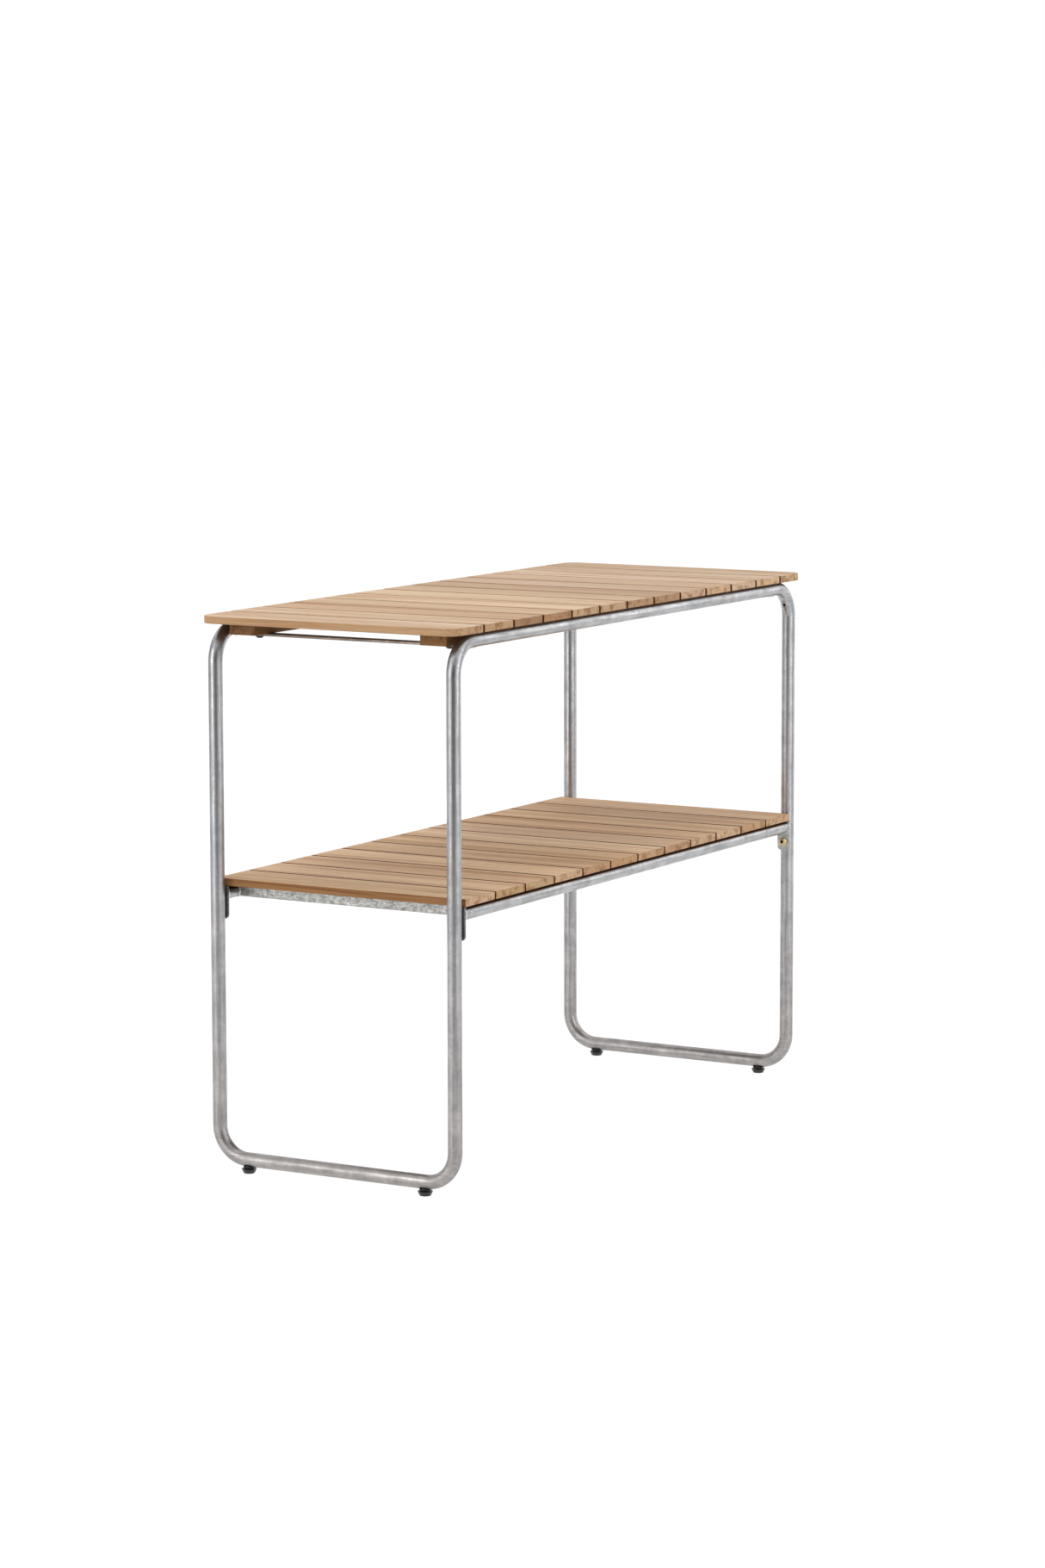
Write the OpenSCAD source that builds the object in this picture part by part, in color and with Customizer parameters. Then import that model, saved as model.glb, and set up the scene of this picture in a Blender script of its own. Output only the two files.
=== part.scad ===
// Slatted two-tier outdoor table on a bent galvanised tube frame.
// Millimetres. Origin: floor level, under the middle of the table.
// +X runs along the long side to the right, the front long side is at -Y, +Z is up.

/* [Frame] */
// Distance between the leg centres along the long side
leg_span = 1100; // [800:10:1400]
// Distance between the leg centres across the table
leg_depth = 424; // [300:2:600]
// Height of the top of the rails, where the table top rests
rail_top = 850; // [650:5:1000]
// Outside diameter of every bent tube
tube_d = 22; // [18:0.5:28]
// Wall thickness of the tubes
tube_wall = 1.5; // [1:0.1:2.5]
// Centreline radius of every bend
bend_r = 50; // [40:1:70]
// Height of the butt weld between a hoop and a floor loop
seam_h = 160; // [120:5:220]
// Diameter of the vent hole on the inside of each top bend
vent_d = 5; // [3:0.5:7]
// Angle of the vent hole up the bend
vent_angle = 31; // [20:1:60]

/* [Table top] */
// Number of slats in the table top
top_count = 13; // [9:1:15]
// Gap between two slats of the table top
top_gap = 5.5; // [3:0.5:8]
// How far the table top reaches past the leg centres at each end
end_reach = 22.5; // [12:0.5:40]
// How far the table top reaches past the leg centres at the front and the rear
side_reach = 15.5; // [11:0.5:30]
// Thickness of every slat
slat_t = 12; // [10:0.5:18]
// Radius of the four corners of the table top, seen from above
corner_r = 24; // [10:1:35]
// Easing radius along the edges of a slat
ease_r = 1.5; // [0.5:0.25:3]

/* [Battens and crossbars] */
// Width of a batten under the table top
batten_w = 46; // [30:1:60]
// Thickness of a batten
batten_t = 18.5; // [16:0.5:24]
// Easing radius along the edges of a batten
batten_ease_r = 1; // [0.5:0.25:3]
// Distance from the end of a batten to the line of the leg centres
batten_inset = 12; // [5:1:30]
// Gap between a batten and the rail beside it
batten_gap = 8; // [1:0.5:12]
// Width of the flat crossbar under the battens
bar_w = 20; // [18:1:40]
// Thickness of the flat crossbar
bar_t = 4; // [3:0.5:6]
// Easing radius along the edges of the flat crossbar
bar_ease_r = 0.75; // [0.25:0.25:1.25]
// Distance from the end of a rail's bend to the crossbar
bar_past_bend = 0; // [0:0.5:60]

/* [Shelf] */
// Height of the underside of the shelf slats
shelf_h = 442.5; // [330:2.5:520]
// Number of slats in the shelf
shelf_count = 12; // [9:1:14]
// Gap between two slats of the shelf
shelf_gap = 4; // [3:0.5:8]
// How far the shelf slats reach past the leg centres at the front and the rear
shelf_reach = 11; // [8:0.5:16]
// Easing radius along the edges of a shelf slat
shelf_ease_r = 0.75; // [0.5:0.25:2]
// Side of the square tube across each end of the shelf
member_w = 20; // [15:1:25]
// Wall thickness of the square tube
member_wall = 1.5; // [1:0.1:2.5]
// Outside corner radius of the square tube
member_corner_r = 2.5; // [2:0.25:4]
// Distance from the leg centres to the near face of the square tube
member_inset = 45; // [35:1:100]
// Thickness of the end plates of the shelf tubes
plate_t = 4; // [3:0.5:6]
// How far an end plate hangs below its tube
plate_drop = 29; // [26:1:45]
// Radius of the lower corners of an end plate
plate_corner_r = 7; // [3:0.5:9]

/* [Feet] */
// Height of the gap between the floor and the floor bars
foot_h = 10; // [9.5:0.5:16]
// Distance from the end of a bend to the foot beside it
foot_past_bend = 3; // [2:1:60]
// Widest diameter of a foot pad
pad_d = 23; // [20:0.5:32]
// Diameter of the sole of a foot pad
pad_sole_d = 17.5; // [14:0.5:20]
// Height of a foot pad
pad_h = 7; // [6.5:0.5:8]
// Depth of the dish in the top of a foot pad
dish_depth = 2; // [1.5:0.25:2]
// Width across the flats of the hexagon collar
collar_af = 12; // [10:0.5:13]
// Diameter of the flange under a foot bush
flange_d = 18; // [16:0.5:22]
// Thickness of the flange under a foot bush
flange_t = 1.2; // [0.8:0.1:1.2]
// Gap between the collar and the flange
foot_spare = 1.2; // [1.1:0.1:1.3]

/* [Fasteners] */
// Nominal diameter of the foot studs and of the shelf bolts
bolt_d = 8; // [6:0.5:9]
// Head diameter of a shelf bolt
bolt_head_d = 14; // [12:0.5:16]
// Head height of a shelf bolt
bolt_head_h = 4.4; // [3:0.1:5]
// Diameter of the flat on the domed head of a shelf bolt
bolt_crown_d = 8; // [7.5:0.5:10]
// Width across the flats of the socket in a bolt head
socket_af = 5; // [4:0.5:6]
// Depth of the socket in a bolt head
socket_depth = 2.5; // [2:0.25:3]
// Distance from the underside of a shelf tube to its bolt
bolt_below = 14; // [12:0.5:17]
// Outside diameter of a washer
washer_d = 16; // [14:0.5:18]
// Thickness of a washer
washer_t = 1.2; // [0.8:0.1:2]
// Outside diameter of the threaded bushes in the tubes
bush_d = 12; // [11:0.5:14]
// Length of the threaded bushes in the tubes
bush_l = 12; // [10:0.5:14]
// Nominal diameter of the batten bolts
pan_d = 6; // [5:0.5:8]
// Head diameter of a batten bolt
pan_head_d = 13.5; // [11:0.5:15]
// Head height of a batten bolt
pan_head_h = 4; // [2.5:0.25:5]
// Diameter of the flat on the domed head of a batten bolt
pan_crown_d = 7.5; // [6:0.5:8]
// Width across the flats of the socket in a batten bolt
pan_socket_af = 4; // [3:0.5:5]
// Outside diameter of the threaded inserts in the battens
insert_d = 10; // [9:0.5:14]
// Length of the threaded inserts in the battens
insert_l = 12; // [8:0.5:13]
// Diameter of the wood screws
screw_d = 4; // [3:0.25:5]
// Head diameter of the wood screws
screw_head_d = 8; // [6:0.25:9]
// How far a wood screw reaches into a slat
screw_bite = 8; // [5:0.5:9]

/* [Fits] */
// Radial clearance round a thread, a bush or a screw
thread_fit = 0.05; // [0.02:0.01:0.1]
// Radial clearance of a bolt in its plain hole
hole_fit = 0.3; // [0.1:0.05:0.5]
// Clearance between a stud head and the pad that holds it
swivel_fit = 0.15; // [0.05:0.05:0.3]

/* [Hidden] */
$fn = 96;

tube_r = tube_d / 2;
bore_r = tube_r - tube_wall;
leg_x = leg_span / 2;
leg_y = leg_depth / 2;
rail_z = rail_top - tube_r;
floor_z = foot_h + tube_r;

top_len = leg_span + 2 * end_reach;
top_depth = leg_depth + 2 * side_reach;
top_pitch = (top_len + top_gap) / top_count;
top_slat_w = top_pitch - top_gap;
batten_len = leg_span - 2 * batten_inset;
batten_y = leg_y - tube_r - batten_gap - batten_w / 2;
batten_z = rail_top - batten_t;
bar_x = leg_x - bend_r - bar_past_bend - bar_w / 2;
bar_end = 3;            // the bar stops this far from the rail's centre line

shelf_x = leg_x - tube_r - plate_t;
shelf_z = shelf_h - tube_r;
shelf_pitch = (2 * shelf_x + shelf_gap) / shelf_count;
shelf_slat_w = shelf_pitch - shelf_gap;
shelf_depth = leg_depth + 2 * shelf_reach;
member_x = leg_x - member_inset - member_w / 2;
member_end = 7;         // the square tube stops this far from the shelf tube's centre line
plate_h = tube_d + plate_drop;
bolt_z = shelf_z - tube_r - bolt_below;

foot_y = leg_y - bend_r - foot_past_bend;
stud_spare = 3;         // thread that stands out of the bush inside the bar
stud_head_lip = 1.5;    // how far the stud head stands out round the stud
stud_head_d = bolt_d + 2 * stud_head_lip;
stud_head_h = 2;
head_rim = 0.8;         // straight edge under the dome of a bolt head
pad_floor = 2;          // thickness of the pad under the stud head
pad_rim = 0.8;          // height and width of the rim round the dish of a pad
pad_chamfer = 0.6;      // bevel round the sole of a pad
dish_z = pad_h - dish_depth;
dish_floor_d = across_corners(collar_af) + 2;
stud_foot = pad_floor + swivel_fit;
collar_z = dish_z + swivel_fit;
stud_top = foot_h + bush_l + stud_spare;

screw_edge = 10;        // least distance from a screw to the end of a batten
screw_gauge = top_slat_w / 4;
screw_stagger = batten_w / 4;
screw_hole = screw_d + 2 * thread_fit;
cone_h = (screw_head_d - screw_d) / 2;
screw_cap = 1.6;        // head height of a shelf screw
access_fit = 0.75;      // room round a screw head in the hole under it
over = 1;               // how far a cut runs past the face that it opens
// Drop from the crown of the tube's bore to the flat head of a shelf screw.
seat_drop = bore_r - sqrt(pow(bore_r, 2) - pow(screw_head_d / 2, 2));

ENDS = [["left", -1], ["right", 1]];
SIDES = [["front", -1], ["rear", 1]];
CORNERS = [for (s = SIDES) for (e = ENDS) [str(s[0], "_", e[0]), e[1], s[1]]];

function across_corners(flats) = flats / cos(30);
function two(i) = str(i < 10 ? "0" : "", i);
function top_x(i) = (i - (top_count + 1) / 2) * top_pitch;
function shelf_slat_x(i) = (i - (shelf_count + 1) / 2) * shelf_pitch;
function screw_x(i, side) =
    let (limit = batten_len / 2 - screw_edge)
    max(-limit, min(limit, top_x(i) + side * screw_gauge));
// Where a screw of a top slat enters the batten on one side of the table.
function top_screw(i, w, side) = [screw_x(i, w), side * (batten_y + w * screw_stagger), batten_z];

// ---- tube stock ----

module ring() {
    difference() {
        circle(tube_r);
        circle(bore_r);
    }
}

module straight(length) {
    linear_extrude(length) ring();
}

// A quarter bend in the XY plane, from +X to +Y round the origin.
module bend() {
    rotate_extrude(angle = 90) translate([bend_r, 0]) ring();
}

// A U of tube in the XY plane: base along X at y = 0, arms up to y = height.
module tube_u(width, height) {
    for (side = [0, 1]) mirror([side, 0, 0]) {
        translate([width / 2, bend_r, 0]) rotate([-90, 0, 0]) straight(height - bend_r);
        translate([width / 2 - bend_r, bend_r, 0]) rotate([0, 0, -90]) bend();
    }
    translate([bend_r - width / 2, 0, 0]) rotate([0, 90, 0]) straight(width - 2 * bend_r);
}

// Section W wide and H high with four rounded corners, resting on y = 0.
module eased_section(w, h, r) {
    translate([r - w / 2, 0]) square([w - 2 * r, h]);
    translate([-w / 2, r]) square([w, h - 2 * r]);
    for (x = [-1, 1]) for (y = [r, h - r]) translate([x * (w / 2 - r), y]) circle(r);
}

// The section drawn out along Y, or along X, and centred on the origin.
module bar_along_y(length, w, h, r) {
    translate([0, length / 2, 0]) rotate([90, 0, 0]) linear_extrude(length) eased_section(w, h, r);
}

module bar_along_x(length, w, h, r) {
    rotate([0, 0, 90]) bar_along_y(length, w, h, r);
}

// ---- frame ----

module vent_holes() {
    for (side = [-1, 1])
        translate([side * (leg_x - bend_r), 0, rail_z - bend_r])
            rotate([0, side * (90 - vent_angle), 0]) translate([0, 0, bend_r - tube_d])
                cylinder(d = vent_d, h = tube_d);
}

module bush_hole_in_leg() {
    for (e = ENDS)
        translate([e[1] * leg_x, 0, bolt_z]) rotate([0, -90 * e[1], 0])
            cylinder(r = bush_d / 2 + thread_fit, h = tube_d);
}

module hoop(side) {
    color("#b4b5b6") translate([0, side * leg_y, 0]) difference() {
        translate([0, 0, rail_z]) rotate([-90, 0, 0]) tube_u(leg_span, rail_z - seam_h);
        vent_holes();
        bush_hole_in_leg();
    }
}

module floor_loop(end) {
    color("#b4b5b6") translate([end * leg_x, 0, 0]) difference() {
        translate([0, 0, floor_z]) rotate([90, 0, 90]) tube_u(leg_depth, seam_h - floor_z);
        for (s = SIDES)
            translate([0, s[1] * foot_y, 0])
                cylinder(r = bush_d / 2 + thread_fit, h = floor_z);
    }
}

module top_crossbar(end) {
    reach = leg_y - bar_end;
    color("#a9a9a8") difference() {
        translate([end * bar_x, 0, batten_z - bar_t])
            bar_along_y(2 * reach, bar_w, bar_t, bar_ease_r);
        for (s = SIDES) {
            translate([0, s[1] * leg_y, rail_z]) rotate([0, 90, 0])
                cylinder(r = tube_r, h = 2 * leg_span, center = true);
            translate([end * bar_x, s[1] * batten_y, batten_z - bar_t - over])
                cylinder(r = pan_d / 2 + hole_fit, h = bar_t + 2 * over);
        }
    }
}

module shelf_tube(side) {
    color("#b4b5b6") difference() {
        translate([-shelf_x, side * leg_y, shelf_z]) rotate([0, 90, 0]) straight(2 * shelf_x);
        for (i = [1:shelf_count]) translate([shelf_slat_x(i), side * leg_y, shelf_z]) {
            cylinder(r = screw_hole / 2 + hole_fit, h = tube_d);
            translate([0, 0, -tube_d]) cylinder(r = screw_head_d / 2 + access_fit, h = tube_d);
        }
    }
}

module shelf_crossmember(end) {
    reach = leg_y - member_end;
    inner = member_w - 2 * member_wall;
    color("#b9bab8") difference() {
        translate([end * member_x, 0, shelf_h - member_w])
            bar_along_y(2 * reach, member_w, member_w, member_corner_r);
        translate([end * member_x, 0, shelf_h - member_w + member_wall])
            bar_along_y(leg_depth, inner, inner, member_corner_r - member_wall);
        for (s = SIDES)
            translate([0, s[1] * leg_y, shelf_z]) rotate([0, 90, 0])
                cylinder(r = tube_r, h = leg_span, center = true);
    }
}

// As wide as the tube, square at the top and rounded at the two lower corners.
module plate_outline() {
    flat_w = tube_d - 2 * plate_corner_r;
    translate([-tube_r, plate_corner_r]) square([tube_d, plate_h - plate_corner_r]);
    translate([-flat_w / 2, 0]) square([flat_w, plate_h]);
    for (w = [-1, 1]) translate([w * flat_w / 2, plate_corner_r]) circle(plate_corner_r);
}

module end_plate(end, side) {
    color("#aeb0ae")
        translate([end * shelf_x, side * leg_y, shelf_z - tube_r - plate_drop])
            rotate([90, 0, 90]) mirror([0, 0, end < 0 ? 1 : 0]) linear_extrude(plate_t)
                difference() {
                    plate_outline();
                    translate([0, plate_drop - bolt_below]) circle(bolt_d / 2 + hole_fit);
                }
}

// ---- wood ----

// A slat lying on z = 0, eased along all its edges.
module eased_board(width, length, easing) {
    intersection() {
        bar_along_y(length, width, slat_t, easing);
        bar_along_x(width, length, slat_t, easing);
    }
}

// A slat for the end of the table top, with the rounded corners on its +X side.
module end_board() {
    difference() {
        eased_board(top_slat_w, top_depth, ease_r);
        for (side = [-1, 1])
            translate([top_slat_w / 2, side * top_depth / 2, slat_t / 2])
                cube([2 * corner_r, 2 * corner_r, 2 * slat_t], center = true);
    }
    for (side = [0, 1]) mirror([0, side, 0])
        translate([top_slat_w / 2 - corner_r, top_depth / 2 - corner_r, 0])
            rotate_extrude(angle = 90) intersection() {
                eased_section(2 * corner_r, slat_t, ease_r);
                square([corner_r, slat_t]);
            }
}

module top_slat(i) {
    color(i % 3 == 0 ? "#c9a584" : i % 3 == 1 ? "#d2b294" : "#cdab8b")
        difference() {
            translate([top_x(i), 0, rail_top])
                if (i == 1) mirror([1, 0, 0]) end_board();
                else if (i == top_count) end_board();
                else eased_board(top_slat_w, top_depth, ease_r);
            for (s = SIDES) for (w = [-1, 1]) translate(top_screw(i, w, s[1]))
                cylinder(d = screw_hole, h = batten_t + screw_bite + thread_fit);
        }
}

module shelf_slat(i) {
    color(i % 2 == 0 ? "#b9977a" : "#b38f70") difference() {
        translate([shelf_slat_x(i), 0, shelf_h])
            eased_board(shelf_slat_w, shelf_depth, shelf_ease_r);
        for (s = SIDES) translate([shelf_slat_x(i), s[1] * leg_y, shelf_h - over])
            cylinder(d = screw_hole, h = screw_bite + thread_fit + over);
    }
}

module batten(side) {
    color("#7a5838") difference() {
        translate([0, side * batten_y, batten_z])
            bar_along_x(batten_len, batten_w, batten_t, batten_ease_r);
        for (i = [1:top_count]) for (w = [-1, 1]) translate(top_screw(i, w, side)) {
            translate([0, 0, -over]) cylinder(d = screw_hole, h = batten_t + 2 * over);
            translate([0, 0, -thread_fit])
                cylinder(d1 = screw_head_d + 4 * thread_fit, d2 = screw_hole, h = cone_h + thread_fit);
        }
        for (e = ENDS) translate([e[1] * bar_x, side * batten_y, batten_z - over])
            cylinder(r = insert_d / 2 + thread_fit, h = insert_l + 2 * over);
    }
}

// ---- fasteners ----

module socket_cut(flats, depth) {
    translate([0, 0, -over]) cylinder(d = across_corners(flats), h = depth + over, $fn = 6);
}

// A domed head that sits on z = 0 and points down, with a hexagon socket.
// The dome's sphere goes through the edge of the rim and the edge of the crown.
module domed_head(head_d, head_h, crown_d, flats, depth) {
    centre = (pow(crown_d / 2, 2) + pow(head_h, 2) - pow(head_d / 2, 2) - pow(head_rim, 2))
        / (2 * (head_h - head_rim));
    dome_r = norm([head_d / 2, head_rim - centre]);
    difference() {
        intersection() {
            translate([0, 0, -head_h]) cylinder(d = head_d, h = head_h);
            translate([0, 0, -centre]) sphere(dome_r);
        }
        translate([0, 0, -head_h]) socket_cut(flats, depth);
    }
}

module batten_bolts() {
    grip = bar_t + insert_l;
    color("#c9c3b4") for (e = ENDS) for (s = SIDES)
        translate([e[1] * bar_x, s[1] * batten_y, batten_z - bar_t]) {
            domed_head(pan_head_d, pan_head_h, pan_crown_d, pan_socket_af, pan_head_h / 2);
            cylinder(d = pan_d, h = grip);
        }
}

module batten_inserts() {
    color("#b9975a") for (e = ENDS) for (s = SIDES)
        translate([e[1] * bar_x, s[1] * batten_y, batten_z]) difference() {
            cylinder(d = insert_d, h = insert_l);
            translate([0, 0, -over]) cylinder(d = pan_d + 2 * thread_fit, h = insert_l + 2 * over);
        }
}

module top_slat_screws() {
    color("#c2c2bd") for (i = [1:top_count]) for (w = [-1, 1]) for (s = SIDES)
        translate(top_screw(i, w, s[1])) {
            cylinder(d1 = screw_head_d, d2 = screw_d, h = cone_h);
            cylinder(d = screw_d, h = batten_t + screw_bite);
        }
}

module shelf_slat_screws() {
    shank_l = screw_cap + seat_drop + tube_wall + screw_bite;
    color("#c2c2bd") for (i = [1:shelf_count]) for (s = SIDES)
        translate([shelf_slat_x(i), s[1] * leg_y, shelf_h + screw_bite - thread_fit - shank_l]) {
            cylinder(d = screw_head_d, h = screw_cap);
            cylinder(d = screw_d, h = shank_l);
        }
}

module shelf_bolts() {
    color("#c8b48c") for (c = CORNERS)
        translate([c[1] * (shelf_x - washer_t), c[2] * leg_y, bolt_z]) rotate([0, c[1] * 90, 0]) {
            cylinder(d = bolt_d, h = washer_t + plate_t + bush_l);
            domed_head(bolt_head_d, bolt_head_h, bolt_crown_d, socket_af, socket_depth);
        }
}

module shelf_bolt_washers() {
    color("#bdbdb8") for (c = CORNERS)
        translate([c[1] * (shelf_x - washer_t), c[2] * leg_y, bolt_z]) rotate([0, c[1] * 90, 0])
            difference() {
                cylinder(d = washer_d, h = washer_t);
                translate([0, 0, -over]) cylinder(r = bolt_d / 2 + hole_fit, h = washer_t + 2 * over);
            }
}

module bush() {
    difference() {
        cylinder(d = bush_d, h = bush_l);
        translate([0, 0, -over]) cylinder(r = bolt_d / 2 + thread_fit, h = bush_l + 2 * over);
    }
}

module leg_bushes() {
    color("#a3a4a4") for (c = CORNERS)
        translate([c[1] * (leg_x - tube_r), c[2] * leg_y, bolt_z]) rotate([0, c[1] * 90, 0])
            bush();
}

module foot_bushes() {
    color("#2a2a29") for (c = CORNERS) translate([c[1] * leg_x, c[2] * foot_y, foot_h]) {
        bush();
        translate([0, 0, -flange_t]) difference() {
            cylinder(d = flange_d, h = flange_t);
            translate([0, 0, -over]) cylinder(r = bolt_d / 2 + thread_fit, h = flange_t + 2 * over);
        }
    }
}

// ---- feet ----

module foot_stud(end, side) {
    color("#232323") translate([end * leg_x, side * foot_y, 0]) {
        translate([0, 0, stud_foot]) cylinder(d = stud_head_d, h = stud_head_h);
        translate([0, 0, stud_foot]) cylinder(d = bolt_d, h = stud_top - stud_foot);
        translate([0, 0, collar_z])
            cylinder(
                d = across_corners(collar_af), h = foot_h - flange_t - foot_spare - collar_z, $fn = 6
            );
    }
}

// Half section of a pad: a bevelled sole, a flared side and a dish inside the rim.
module pad_profile() {
    polygon([
        [0, 0],
        [pad_sole_d / 2 - pad_chamfer, 0],
        [pad_sole_d / 2, pad_chamfer],
        [pad_d / 2, pad_h - pad_rim],
        [pad_d / 2, pad_h],
        [pad_d / 2 - pad_rim, pad_h],
        [dish_floor_d / 2, dish_z],
        [0, dish_z],
    ]);
}

module foot_pad(end, side) {
    cavity_h = stud_head_h + 2 * swivel_fit;
    color("#1c1c1a") translate([end * leg_x, side * foot_y, 0]) difference() {
        rotate_extrude() pad_profile();
        translate([0, 0, pad_floor]) cylinder(d = stud_head_d + 2 * swivel_fit, h = cavity_h);
        translate([0, 0, pad_floor]) cylinder(d = bolt_d + 2 * swivel_fit, h = pad_h);
    }
}

// ---- assembly ----

for (s = SIDES) hoop(s[1]);
for (e = ENDS) floor_loop(e[1]);
for (e = ENDS) top_crossbar(e[1]);
for (s = SIDES) batten(s[1]);
for (i = [1:top_count]) top_slat(i);
for (s = SIDES) shelf_tube(s[1]);
for (e = ENDS) shelf_crossmember(e[1]);
for (c = CORNERS) end_plate(c[1], c[2]);
for (i = [1:shelf_count]) shelf_slat(i);
batten_bolts();
batten_inserts();
top_slat_screws();
shelf_slat_screws();
shelf_bolts();
shelf_bolt_washers();
leg_bushes();
foot_bushes();
for (c = CORNERS) foot_stud(c[1], c[2]);
for (c = CORNERS) foot_pad(c[1], c[2]);
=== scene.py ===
import math
import random

import bpy
from mathutils import Matrix, Vector


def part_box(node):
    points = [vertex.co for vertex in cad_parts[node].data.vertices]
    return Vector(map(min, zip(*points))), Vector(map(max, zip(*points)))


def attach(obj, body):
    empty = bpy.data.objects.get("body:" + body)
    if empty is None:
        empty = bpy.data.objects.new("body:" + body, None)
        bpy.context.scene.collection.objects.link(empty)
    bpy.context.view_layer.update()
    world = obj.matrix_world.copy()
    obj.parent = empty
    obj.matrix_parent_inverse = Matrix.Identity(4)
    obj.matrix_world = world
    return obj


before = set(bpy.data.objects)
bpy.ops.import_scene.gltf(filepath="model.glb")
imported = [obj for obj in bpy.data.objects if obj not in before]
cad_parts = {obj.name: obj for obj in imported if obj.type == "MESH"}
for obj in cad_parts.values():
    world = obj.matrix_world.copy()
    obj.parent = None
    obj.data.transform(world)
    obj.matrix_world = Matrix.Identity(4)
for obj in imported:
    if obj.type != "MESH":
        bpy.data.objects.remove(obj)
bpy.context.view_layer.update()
print("frame loaded:", len(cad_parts), "nodes")


def colourOf(hexText):
    # sRGB hex to the linear colour that the sockets hold
    parts = [int(hexText[i:i + 2], 16) / 255 for i in (1, 3, 5)]
    linear = [p / 12.92 if p <= 0.04045 else ((p + 0.055) / 1.055) ** 2.4 for p in parts]
    return (*linear, 1.0)


def addNode(tree, kind, inputs=None, stops=None, **settings):
    # one node with its settings; an input takes a value or another node's output
    node = tree.nodes.new(kind)
    for name, value in settings.items():
        setattr(node, name, value)
    for socket, source in (inputs or {}).items():
        if isinstance(source, bpy.types.NodeSocket):
            tree.links.new(source, node.inputs[socket])
        else:
            node.inputs[socket].default_value = source
    if stops:
        ramp = node.color_ramp
        while len(ramp.elements) < len(stops):
            ramp.elements.new(0.5)
        for element, (place, hexText) in zip(ramp.elements, stops):
            element.position = place
            element.color = colourOf(hexText)
    return node


def newMaterial(name):
    material = bpy.data.materials.new(name)
    material.use_nodes = True
    material.node_tree.nodes.clear()
    return material, material.node_tree


def perMetre(millimetres):
    # scale of a texture whose features are this wide
    return 1000 / millimetres


def dress(nodeName, material):
    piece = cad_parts[nodeName]
    piece.data.materials.clear()
    piece.data.materials.append(material)


camera = {
    "place": (-6.2014, -3.6084, 1.4956),  # metres
    "heading": 59.88,                     # degrees from +Y towards +X
    "down": 7.49,
    "roll": -0.10,
    "lens": 102.9,                        # mm, on the sensor's long side
    "sensor": 36.0,
}

cameraData = bpy.data.cameras.new("camera")
cameraData.lens = camera["lens"]
cameraData.sensor_width = camera["sensor"]
cameraObject = bpy.data.objects.new("camera", cameraData)
bpy.context.scene.collection.objects.link(cameraObject)
cameraObject.matrix_world = (
    Matrix.Translation(camera["place"])
    @ Matrix.Rotation(math.radians(-camera["heading"]), 4, "Z")
    @ Matrix.Rotation(math.radians(90 - camera["down"]), 4, "X")
    @ Matrix.Rotation(math.radians(camera["roll"]), 4, "Z")
)
bpy.context.scene.camera = cameraObject
bpy.context.scene.view_settings.view_transform = "Standard"
print("camera set")


room = {
    "floorHalf": 30.0,          # metres
    "floorWhite": "#E6E6E6",
    "floorGlow": 0.90,          # part of the white floor that no shadow darkens
    "floorShade": 0.22,         # part of it that shows the shadow
    "worldLight": 0.70,         # light on matt surfaces from all round
}
lamps = {
    "topBox": {"place": (0.0, 0.1, 3.2), "aim": (0, 0, 0.6), "size": (2.6, 1.6), "watts": 20},
    "leftBox": {"place": (-3.4, 1.4, 1.4), "aim": (0, 0, 0.55), "size": (0.8, 2.2), "watts": 26},
    "rightBox": {"place": (0.1, -3.5, 1.5), "aim": (0, 0, 0.5), "size": (0.9, 2.2), "watts": 20},
    "farBox": {"place": (3.0, -1.8, 1.3), "aim": (0, 0, 0.5), "size": (0.8, 1.6), "watts": 6},
}
# dark cards that only the bare metal mirrors: the middle band and two thinner lines
cards = {
    "frontCard": {"place": (-2.41, -1.14, 0.75), "size": (2.5, 2.6), "grey": "#525254"},
    "leftCard": {"place": (-0.9, 3.4, 1.2), "size": (1.3, 2.6), "grey": "#6E6E70"},
    "rightCard": {"place": (1.9, -2.9, 1.2), "size": (1.0, 2.6), "grey": "#7A7A7C"},
}


def seenDirectly(tree):
    # 1 for what the eye, a mirror or a clear body sees, 0 for stray light
    path = addNode(tree, "ShaderNodeLightPath")
    eye = addNode(tree, "ShaderNodeMath", {
        0: path.outputs["Is Camera Ray"],
        1: path.outputs["Is Glossy Ray"],
    }, operation="MAXIMUM")
    return addNode(tree, "ShaderNodeMath", {
        0: eye.outputs[0],
        1: path.outputs["Is Transmission Ray"],
    }, operation="MAXIMUM").outputs[0]


def whiteWorld():
    world = bpy.data.worlds.new("white studio")
    world.use_nodes = True
    tree = world.node_tree
    tree.nodes.clear()
    white = colourOf("#FFFFFF")
    shown = addNode(tree, "ShaderNodeBackground", {"Color": white, "Strength": 1.0})
    stray = addNode(tree, "ShaderNodeBackground", {
        "Color": white,
        "Strength": room["worldLight"],
    })
    both = addNode(tree, "ShaderNodeMixShader", {
        0: seenDirectly(tree),
        1: stray.outputs[0],
        2: shown.outputs[0],
    })
    addNode(tree, "ShaderNodeOutputWorld", {"Surface": both.outputs[0]})
    bpy.context.scene.world = world


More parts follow.
